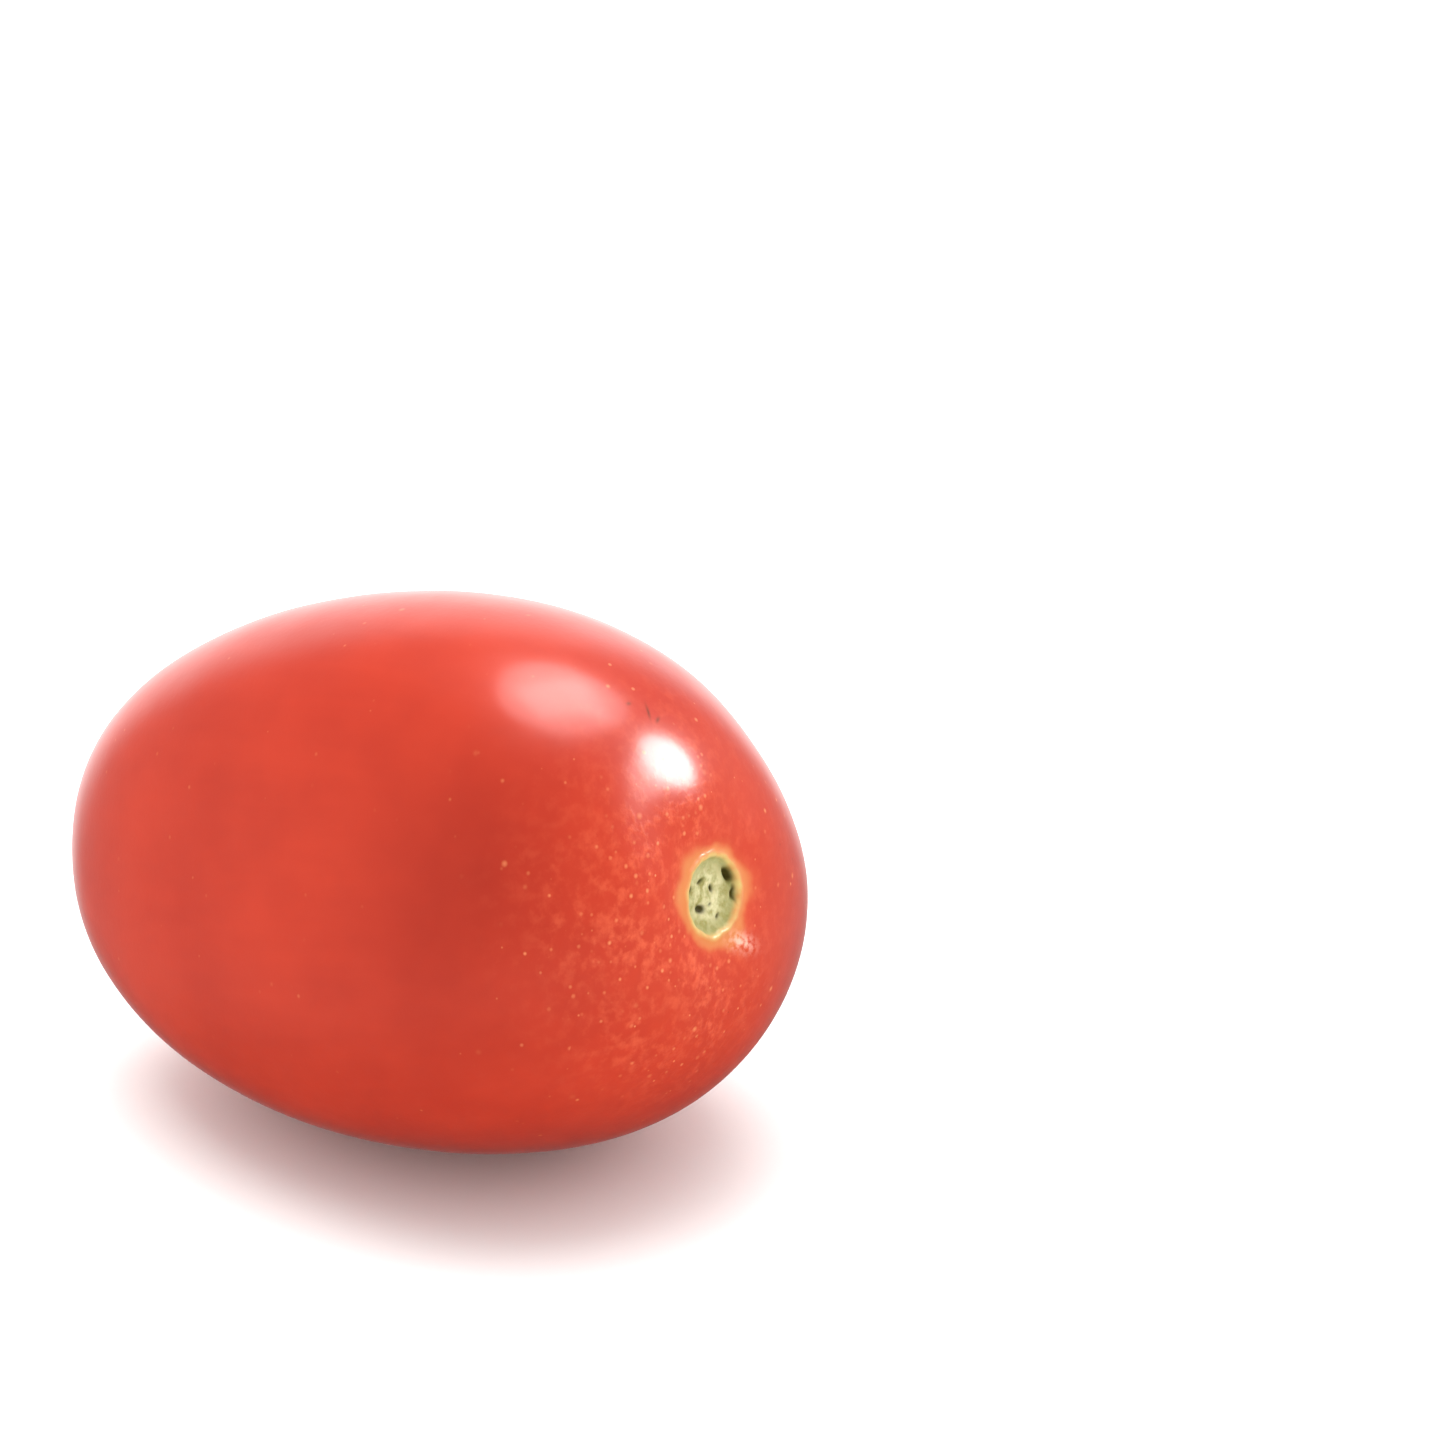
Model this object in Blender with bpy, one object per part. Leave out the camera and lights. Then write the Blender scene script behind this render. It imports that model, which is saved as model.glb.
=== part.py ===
"""A ripe plum tomato, picked and calyx gone, lying on its side. Metres, +Z up.

The fruit grew as one piece, so it is one closed body. Its long axis runs along X, with
the stem scar at +X, and it rests on a small flat spot at Z = 0. The origin is the
bottom centre of its bounding box.
"""

import math

import bmesh
import bpy
from mathutils import Matrix, Vector

MM = 0.001

# Driving dimensions of the fruit, about its own axis before it is laid down.
HALF_LENGTH = 36.8 * MM  # from the middle to either end
GIRTH_RADIUS = 25.0 * MM  # radius halfway along, before the swell
SWELL = (0.127, 0.097, 0.034)  # share of radius gained with cos, cos^2 and cos^3 along the axis
BEND_Y = (-3.2 * MM, -0.25 * MM)  # sideways drift of the axis with cos^2 and cos^3
BEND_Z = (2.0 * MM, -0.1 * MM)  # upward drift of the axis with cos^2 and cos^3
OVAL = (0.051, math.radians(134.0))  # share of radius and direction of the two-lobed part
LOBES = (  # lobes round the girth: count, share of radius, direction of the first
    (3, 0.063, math.radians(95.5)),
    (4, 0.012, math.radians(28.7)),
    (5, 0.016, math.radians(52.0)),
)

# The dished shoulder round the stem and the corky scar in its middle.
DISH_DEPTH = 1.8 * MM
DISH_REACH = 7.0 * MM  # distance at which the dish has lost two thirds of its depth
SCAR_DEPTH = 0.7 * MM
SCAR_RADIUS = 3.6 * MM

# The blossom end comes to a slight blunt tip.
TIP_HEIGHT = 0.5 * MM
TIP_REACH = 2.5 * MM

# How it lies.
STEM_RISE = math.radians(10.0)  # the stem end stands this much higher
FLAT_DEPTH = 0.85 * MM  # how much the weight has flattened the underside

# Fineness of the mesh.
RINGS = 36
SEGMENTS = 56
RING_CROWDING = 1.15  # over 1 puts more rings near the stem

SKIN_COLOUR = (0.68, 0.068, 0.037, 1.0)
SKIN_ROUGHNESS = 0.3


def clear_scene():
    """Removes every object of the scene that the file opens with."""
    for old in list(bpy.data.objects):
        bpy.data.objects.remove(old, do_unlink=True)


def girth_radius(along):
    """Radius of the fruit where the cosine of the meridian angle is along."""
    across = math.sqrt(max(0.0, 1.0 - along * along))
    swell = sum(share * along**power for power, share in enumerate(SWELL, start=1))
    return GIRTH_RADIUS * across * (1.0 + swell)


def roundness(along, turn):
    """What the oval and the lobes multiply the radius by, in the direction turn."""
    across = math.sqrt(max(0.0, 1.0 - along * along))
    lobes = sum(share * math.cos(count * (turn - first)) for count, share, first in LOBES)
    return 1.0 + OVAL[0] * math.cos(2.0 * (turn - OVAL[1])) + across * lobes


def smooth_step(value):
    """Rises smoothly from 0 to 1 as value goes from 0 to 1."""
    value = min(1.0, max(0.0, value))
    return value * value * (3.0 - 2.0 * value)


def end_relief(along, reach):
    """How far the skin stands out from the plain shape, along the axis, at this distance from it."""
    if along > 0.0:
        dish = DISH_DEPTH * math.exp(-((reach / DISH_REACH) ** 2))
        scar = SCAR_DEPTH * smooth_step(2.0 * (1.0 - reach / SCAR_RADIUS))
        return -(dish + scar)
    return -TIP_HEIGHT * math.exp(-((reach / TIP_REACH) ** 2))


def skin_point(angle, turn):
    """Point of the skin at a meridian angle from the stem end, in the direction turn round the axis."""
    along = math.cos(angle)
    reach = girth_radius(along) * roundness(along, turn)
    middle_y = BEND_Y[0] * along**2 + BEND_Y[1] * along**3
    middle_z = BEND_Z[0] * along**2 + BEND_Z[1] * along**3
    return Vector(
        (
            HALF_LENGTH * along + end_relief(along, reach),
            middle_y + reach * math.cos(turn),
            middle_z + reach * math.sin(turn),
        )
    )


def ring_angle(ring):
    """Meridian angle of a ring, with the rings closer together towards the stem."""
    return math.pi * (ring / RINGS) ** RING_CROWDING


def grow_skin(mesh):
    """Adds the whole skin to the mesh: a pole at each end, and the rings between them."""
    turns = [2.0 * math.pi * step / SEGMENTS for step in range(SEGMENTS)]
    stem = mesh.verts.new(skin_point(0.0, 0.0))
    blossom = mesh.verts.new(skin_point(math.pi, 0.0))
    rings = [
        [mesh.verts.new(skin_point(ring_angle(ring), turn)) for turn in turns]
        for ring in range(1, RINGS)
    ]
    for here in range(SEGMENTS):
        after = (here + 1) % SEGMENTS
        mesh.faces.new((stem, rings[0][here], rings[0][after]))
        mesh.faces.new((blossom, rings[-1][after], rings[-1][here]))
        for near, far in zip(rings, rings[1:]):
            mesh.faces.new((near[here], far[here], far[after], near[after]))


def lay_down(mesh):
    """Tips the stem end up, to the slope at which the fruit lies."""
    bmesh.ops.transform(mesh, matrix=Matrix.Rotation(-STEM_RISE, 4, "Y"), verts=mesh.verts)


def flatten_underside(mesh):
    """Takes off the lowest slice and closes the cut with one flat face."""
    floor = min(vertex.co.z for vertex in mesh.verts) + FLAT_DEPTH
    cut = bmesh.ops.bisect_plane(
        mesh,
        geom=mesh.verts[:] + mesh.edges[:] + mesh.faces[:],
        dist=0.02 * MM,
        plane_co=(0.0, 0.0, floor),
        plane_no=(0.0, 0.0, -1.0),
        clear_outer=True,
    )
    rim = [item for item in cut["geom_cut"] if isinstance(item, bmesh.types.BMEdge)]
    for edge in rim:
        for vertex in edge.verts:
            vertex.co.z = floor
    flat = bmesh.ops.edgeloop_fill(mesh, edges=rim)["faces"]
    bmesh.ops.poke(mesh, faces=flat)


def stand_on_origin(mesh):
    """Moves the fruit so that the bottom centre of its bounding box is the origin."""
    points = [vertex.co for vertex in mesh.verts]
    low = Vector(map(min, zip(*points)))
    high = Vector(map(max, zip(*points)))
    middle = (low + high) / 2.0
    bmesh.ops.translate(mesh, vec=(-middle.x, -middle.y, -low.z), verts=mesh.verts)


def skin_material():
    """Glossy red skin."""
    material = bpy.data.materials.new("tomato_skin")
    material.use_nodes = True
    shader = material.node_tree.nodes["Principled BSDF"]
    shader.inputs["Base Color"].default_value = SKIN_COLOUR
    shader.inputs["Roughness"].default_value = SKIN_ROUGHNESS
    shader.inputs["Metallic"].default_value = 0.0
    return material


def build_tomato():
    """Makes the fruit's one object."""
    mesh = bmesh.new()
    grow_skin(mesh)
    lay_down(mesh)
    flatten_underside(mesh)
    stand_on_origin(mesh)
    bmesh.ops.recalc_face_normals(mesh, faces=mesh.faces)
    data = bpy.data.meshes.new("tomato")
    mesh.to_mesh(data)
    mesh.free()
    data.shade_smooth()
    data.set_sharp_from_angle(angle=math.radians(30.0))
    data.materials.append(skin_material())
    fruit = bpy.data.objects.new("tomato", data)
    bpy.context.scene.collection.objects.link(fruit)
    return fruit


clear_scene()
build_tomato()
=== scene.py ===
"""Looks of a ripe plum tomato that lies on its side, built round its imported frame.

The fruit grew as one piece, so one closed skin with its stem scar replaces the one CAD
node. A Geometry Nodes tree grows that skin from the fruit's own rule. All sizes are in metres.
"""

import logging
import math
from dataclasses import dataclass, fields
from enum import Enum

import bmesh
import bpy
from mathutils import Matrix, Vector


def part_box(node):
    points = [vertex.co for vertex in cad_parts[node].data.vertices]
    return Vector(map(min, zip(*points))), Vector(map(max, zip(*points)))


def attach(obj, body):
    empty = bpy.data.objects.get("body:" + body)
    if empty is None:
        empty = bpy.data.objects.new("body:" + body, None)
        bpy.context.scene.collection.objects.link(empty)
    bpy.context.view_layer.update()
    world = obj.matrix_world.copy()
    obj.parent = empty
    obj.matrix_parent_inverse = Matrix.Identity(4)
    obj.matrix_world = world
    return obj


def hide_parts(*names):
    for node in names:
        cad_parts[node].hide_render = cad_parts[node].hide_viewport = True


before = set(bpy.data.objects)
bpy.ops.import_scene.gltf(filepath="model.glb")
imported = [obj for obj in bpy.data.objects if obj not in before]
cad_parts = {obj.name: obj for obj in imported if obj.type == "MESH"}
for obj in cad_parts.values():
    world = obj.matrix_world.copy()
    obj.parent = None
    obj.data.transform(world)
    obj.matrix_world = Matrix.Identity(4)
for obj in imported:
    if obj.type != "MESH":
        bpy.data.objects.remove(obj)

LOG = logging.getLogger("plum_tomato")
MM = 0.001
NODE = "tomato"
BODY = "root"
SLOT = "tomato_skin"
PLACE_ATTRIBUTE = "grown_place"
QUARTER_TURN = 90.0
NOISE_MIDDLE = 0.5
GRID_HALF = 0.5

# How a screen turns the numbers it is sent into light.
SCREEN_FULL = 255.0
SCREEN_KNEE = 0.04045
SCREEN_SLOPE = 12.92
SCREEN_OFFSET = 0.055
SCREEN_POWER = 2.4

Colour = tuple[float, float, float, float]
Point = tuple[float, float, float]


def paint(red: int, green: int, blue: int) -> Colour:
    """Turns a colour as seen on a screen into the linear one that shaders take.

    Args:
        red: Red, 0 to 255.
        green: Green, 0 to 255.
        blue: Blue, 0 to 255.

    Returns:
        The linear colour with full alpha.
    """
    linear = []
    for value in (red, green, blue):
        share = value / SCREEN_FULL
        if share <= SCREEN_KNEE:
            linear.append(share / SCREEN_SLOPE)
        else:
            linear.append(((share + SCREEN_OFFSET) / (1.0 + SCREEN_OFFSET)) ** SCREEN_POWER)
    return (*linear, 1.0)


def toward(azimuth: float, elevation: float) -> Vector:
    """Gives the direction to a point of the sky.

    Args:
        azimuth: Degrees round from -Y towards +X.
        elevation: Degrees above level.

    Returns:
        A unit vector from the fruit to that point.
    """
    turn, rise = math.radians(azimuth), math.radians(elevation)
    return Vector((math.sin(turn) * math.cos(rise), -math.cos(turn) * math.cos(rise), math.sin(rise)))


@dataclass(frozen=True)
class Flow:
    """A value that a node tree works out, with the usual arithmetic on it."""

    tree: bpy.types.NodeTree
    socket: bpy.types.NodeSocket

    def math(self, operation: str, *others: "Flow | float") -> "Flow":
        """Applies one Math node.

        Args:
            operation: The node's operation.
            others: The values of its further inputs.

        Returns:
            The node's result.
        """
        node = self.tree.nodes.new("ShaderNodeMath")
        node.operation = operation
        for socket, value in zip(node.inputs, (self, *others)):
            feed(self.tree, socket, value)
        return Flow(self.tree, node.outputs[0])

    def __add__(self, other: "Flow | float") -> "Flow":
        """Sum."""
        return self.math("ADD", other)

    def __sub__(self, other: "Flow | float") -> "Flow":
        """Difference."""
        return self.math("SUBTRACT", other)

    def __mul__(self, other: "Flow | float") -> "Flow":
        """Product."""
        return self.math("MULTIPLY", other)

    def __truediv__(self, other: "Flow | float") -> "Flow":
        """Quotient."""
        return self.math("DIVIDE", other)

    def __neg__(self) -> "Flow":
        """The value with its sign turned round."""
        return self.math("MULTIPLY", -1.0)

    def rest(self) -> "Flow":
        """What this share leaves of 1."""
        return self * -1.0 + 1.0

    def most(self, other: "Flow | float") -> "Flow":
        """The larger of the two values."""
        return self.math("MAXIMUM", other)

    def wave(self, count: "Flow | float", first: "Flow | float") -> "Flow":
        """Makes a wave of the value, which is an angle.

        Args:
            count: Number of waves in a full turn.
            first: Angle of the first crest.

        Returns:
            1 on the crests and -1 between them.
        """
        return ((self - first) * count).math("COSINE")

    def bell(self, width: "Flow | float") -> "Flow":
        """Makes a bell curve of the value.

        Args:
            width: How far from 0 the curve has lost two thirds of its height.

        Returns:
            1 where the value is 0, falling off on either side.
        """
        share = self / width
        return (-(share * share)).math("EXPONENT")

    def ramp(self, low: "Flow | float", high: "Flow | float") -> "Flow":
        """Goes smoothly from 0 to 1 as the value goes from low to high, which may be the smaller.

        Args:
            low: The value that gives 0.
            high: The value that gives 1.

        Returns:
            The share, never under 0 or over 1.
        """
        node = self.tree.nodes.new("ShaderNodeMapRange")
        node.interpolation_type = "SMOOTHSTEP"
        for name, value in (("Value", self), ("From Min", low), ("From Max", high)):
            feed(self.tree, node.inputs[name], value)
        return Flow(self.tree, node.outputs["Result"])

    def parts(self) -> "tuple[Flow, Flow, Flow]":
        """Splits a vector.

        Returns:
            Its X, Y and Z.
        """
        node = self.tree.nodes.new("ShaderNodeSeparateXYZ")
        feed(self.tree, node.inputs[0], self)
        return tuple(Flow(self.tree, socket) for socket in node.outputs)


def feed(tree: bpy.types.NodeTree, socket: bpy.types.NodeSocket, value: "Flow | object") -> None:
    """Gives a socket its value, by a link or as a constant.

    Args:
        tree: The tree that holds the socket.
        socket: The input to set.
        value: A Flow to link, or a plain value.
    """
    if isinstance(value, Flow):
        tree.links.new(value.socket, socket)
    else:
        socket.default_value = value


def distance(side: Flow, up: Flow) -> Flow:
    """Works out how far a place is from the fruit's axis.

    Args:
        side: Distance sideways.
        up: Distance upwards.

    Returns:
        The whole distance.
    """
    return (side * side + up * up).math("SQRT")


@dataclass(frozen=True)
class Bench:
    """Adds nodes to one tree and joins them up."""

    tree: bpy.types.NodeTree

    def node(self, kind: str, settings: dict[str, object] | None = None,
             inputs: dict[str | int, object] | None = None) -> bpy.types.Node:
        """Adds a node.

        Args:
            kind: The node's type.
            settings: Its properties.
            inputs: Its input values or flows, by name or number.

        Returns:
            The new node.
        """
        node = self.tree.nodes.new(kind)
        for name, value in (settings or {}).items():
            setattr(node, name, value)
        for name, value in (inputs or {}).items():
            feed(self.tree, node.inputs[name], value)
        return node

    def flow(self, kind: str, settings: dict[str, object] | None = None,
             inputs: dict[str | int, object] | None = None, output: str | int = 0) -> Flow:
        """Adds a node, as node() does, and gives one of its outputs.

        Args:
            kind, settings, inputs: What node() takes.
            output: The output wanted, by name or number.

        Returns:
            That output.
        """
        return Flow(self.tree, self.node(kind, settings, inputs).outputs[output])

    def vector(self, x: "Flow | float", y: "Flow | float", z: "Flow | float") -> Flow:
        """Joins three numbers.

        Args:
            x: The first number.
            y: The second number.
            z: The third number.

        Returns:
            The vector.
        """
        return self.flow("ShaderNodeCombineXYZ", None, {0: x, 1: y, 2: z})

    def scaled(self, vector: Flow, scale: "Flow | float") -> Flow:
        """Multiplies a vector by a number.

        Args:
            vector: The vector.
            scale: The number.

        Returns:
            The product.
        """
        inputs = {0: vector, "Scale": scale}
        return self.flow("ShaderNodeVectorMath", {"operation": "SCALE"}, inputs)

    def facing(self, direction: Flow, way: Vector) -> Flow:
        """Works out how nearly a direction goes one way.

        Args:
            direction: A unit vector.
            way: The unit vector it is compared with.

        Returns:
            The cosine of the angle between them.
        """
        inputs = {0: direction, 1: tuple(way)}
        return self.flow("ShaderNodeVectorMath", {"operation": "DOT_PRODUCT"}, inputs, "Value")

    def blend(self, share: "Flow | float", first: "Flow | Colour", second: "Flow | Colour") -> Flow:
        """Mixes two colours.

        Args:
            share: How much of the second there is.
            first: The colour below.
            second: The colour above.

        Returns:
            The mixed colour.
        """
        inputs = {"Factor": share, 6: first, 7: second}
        return self.flow("ShaderNodeMix", {"data_type": "RGBA"}, inputs, 2)


@dataclass(frozen=True)
class Band:
    """Two values between which a share goes smoothly from 0 to 1; high may be the smaller."""

    low: float
    high: float

    def share(self, value: Flow) -> Flow:
        """Works out how far a value is through the band.

        Args:
            value: The value.

        Returns:
            0 at low, 1 at high.
        """
        return value.ramp(self.low, self.high)


@dataclass(frozen=True)
class Grain:
    """Smooth noise: size of its largest lumps, number of finer layers and their strength."""

    size: float
    detail: float = 2.0
    roughness: float = 0.5

    def at(self, bench: Bench, place: Flow) -> Flow:
        """Reads the noise.

        Args:
            bench: The tree's bench.
            place: Where it is read.

        Returns:
            The noise, mostly between -0.5 and 0.5.
        """
        inputs = {
            "Vector": place,
            "Scale": 1.0 / self.size,
            "Detail": self.detail,
            "Roughness": self.roughness,
        }
        return bench.flow("ShaderNodeTexNoise", None, inputs) - NOISE_MIDDLE


def new_tree(name: str, kind: str, inputs: dict[str, tuple[str, object]],
             outputs: dict[str, str]) -> tuple[Bench, dict[str, Flow], bpy.types.Node]:
    """Starts a node group with named inputs and outputs.

    Args:
        name: The group's name.
        kind: ShaderNodeTree or GeometryNodeTree.
        inputs: The socket type and the first value of each input.
        outputs: The socket type of each output.

    Returns:
        The bench, a flow from each input, and the group's output node.
    """
    tree = bpy.data.node_groups.new(name, kind)
    for label, (socket_type, value) in inputs.items():
        socket = tree.interface.new_socket(label, in_out="INPUT", socket_type=socket_type)
        if value is not None:
            socket.default_value = value
    for label, socket_type in outputs.items():
        tree.interface.new_socket(label, in_out="OUTPUT", socket_type=socket_type)
    entry = tree.nodes.new("NodeGroupInput")
    flows = {label: Flow(tree, entry.outputs[label]) for label in inputs}
    return Bench(tree), flows, tree.nodes.new("NodeGroupOutput")


@dataclass(frozen=True)
class Lobe:
    """Regular swellings round the girth: how many, their share of the radius and the first's angle."""

    count: int
    share: float
    first: float


@dataclass(frozen=True)
class Mark:
    """A small oval mark on the stem end, such as a hollow where a vessel of the stalk went in.

    side and up are its place across the end, long_side its half-length and short_side its
    half-width, turn the direction of its length in degrees, and depth how deep it is.
    """

    side: float
    up: float
    long_side: float
    short_side: float
    turn: float
    depth: float = 0.0

    def share(self, side: Flow, up: Flow) -> Flow:
        """Works out how far a place is into the mark.

        Args:
            side: Distance from the axis, sideways.
            up: Distance from the axis, upwards.

        Returns:
            1 in the mark's middle, falling to 0 outside it.
        """
        cosine, sine = math.cos(math.radians(self.turn)), math.sin(math.radians(self.turn))
        east, north = side - self.side, up - self.up
        length = (east * cosine + north * sine) / self.long_side
        width = (north * cosine - east * sine) / self.short_side
        return (-(length * length + width * width)).math("EXPONENT")


@dataclass(frozen=True)
class StemScar:
    """Sizes of the dry corky scar where the stalk sat, and of the shoulder round it."""

    dish_depth: float = 1.8 * MM
    dish_reach: float = 7.0 * MM
    rib_count: float = 5.0
    rib_turn: float = 0.3
    rib_height: float = 0.16 * MM
    rib_rise: Band = Band(3.5 * MM, 9.0 * MM)
    rib_fall: Band = Band(19.0 * MM, 9.0 * MM)
    scar_radius: float = 3.1 * MM
    scar_depth: float = 0.45 * MM
    scar_wall: float = 0.45 * MM
    lip_radius: float = 3.45 * MM
    lip_width: float = 0.38 * MM
    lip_height: float = 0.2 * MM
    outline: Grain = Grain(1.6 * MM, 1.0)
    raggedness: float = 0.7 * MM
    cork: Grain = Grain(0.9 * MM, 3.0, 0.6)
    cork_height: float = 0.3 * MM
    pits: tuple[Mark, ...] = (
        Mark(2.75 * MM, 0.95 * MM, 0.8 * MM, 0.34 * MM, 110.0, 0.45 * MM),
        Mark(-0.95 * MM, -0.95 * MM, 0.75 * MM, 0.42 * MM, -20.0, 0.4 * MM),
        Mark(2.95 * MM, -0.7 * MM, 0.9 * MM, 0.16 * MM, 80.0, 0.25 * MM),
        Mark(0.75 * MM, 0.35 * MM, 0.45 * MM, 0.26 * MM, 100.0, 0.3 * MM),
        Mark(-0.5 * MM, 1.35 * MM, 0.6 * MM, 0.22 * MM, 15.0, 0.2 * MM),
        Mark(-2.0 * MM, 1.1 * MM, 0.35 * MM, 0.22 * MM, 60.0, 0.18 * MM),
        Mark(0.9 * MM, -2.1 * MM, 0.4 * MM, 0.22 * MM, 40.0, 0.18 * MM),
        Mark(0.3 * MM, -0.9 * MM, 0.3 * MM, 0.2 * MM, 20.0, 0.14 * MM),
    )

    def uneven_reach(self, bench: Bench, side: Flow, up: Flow, raggedness: "Flow | float") -> Flow:
        """Works out the distance from the axis, made uneven, so that the scar isn't a circle.

        Args:
            bench: The tree's bench.
            side: Distance from the axis, sideways.
            up: Distance from the axis, upwards.
            raggedness: How uneven it is.

        Returns:
            The uneven distance.
        """
        bumps = self.outline.at(bench, bench.vector(side, up, 0.0))
        return distance(side, up) + bumps * raggedness


@dataclass(frozen=True)
class BlossomTip:
    """Sizes of the blunt tip at the other end, and of the dry point that the flower left on it."""

    tip_height: float = 0.5 * MM
    tip_reach: float = 2.5 * MM
    mark_radius: float = 0.8 * MM
    mark_depth: float = 0.25 * MM


@dataclass(frozen=True)
class Form:
    """The rule that the fruit's shape follows, about its own axis, and how it lies."""

    half_length: float = 36.8 * MM
    girth_radius: float = 25.0 * MM
    swell: tuple[float, float, float] = (0.127, 0.097, 0.034)
    side_bend: tuple[float, float] = (-3.2 * MM, -0.25 * MM)
    up_bend: tuple[float, float] = (2.0 * MM, -0.1 * MM)
    oval: Lobe = Lobe(2, 0.051, math.radians(134.0))
    lobes: tuple[Lobe, ...] = (
        Lobe(3, 0.063, math.radians(95.5)),
        Lobe(4, 0.012, math.radians(28.7)),
        Lobe(5, 0.016, math.radians(52.0)),
    )
    stem_rise: float = math.radians(10.0)
    flat_depth: float = 0.85 * MM
    flat_edge: float = 0.3 * MM
    stem_end: Band = Band(0.0, 0.3)
    blossom_end: Band = Band(0.0, -0.3)
    broad_wave: float = 0.22 * MM
    broad_grain: Grain = Grain(14.0 * MM, 1.0)
    fine_wave: float = 0.035 * MM
    fine_grain: Grain = Grain(4.5 * MM, 1.0)
    past_scar: Band = Band(3.0 * MM, 6.0 * MM)
    far_half: Band = Band(0.0, -5.0 * MM)


@dataclass(frozen=True)
class SkinMesh:
    """How fine the skin's mesh is."""

    rings: int = 236
    segments: int = 288
    crowding: float = 0.28
    weld: float = 0.001 * MM


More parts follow.
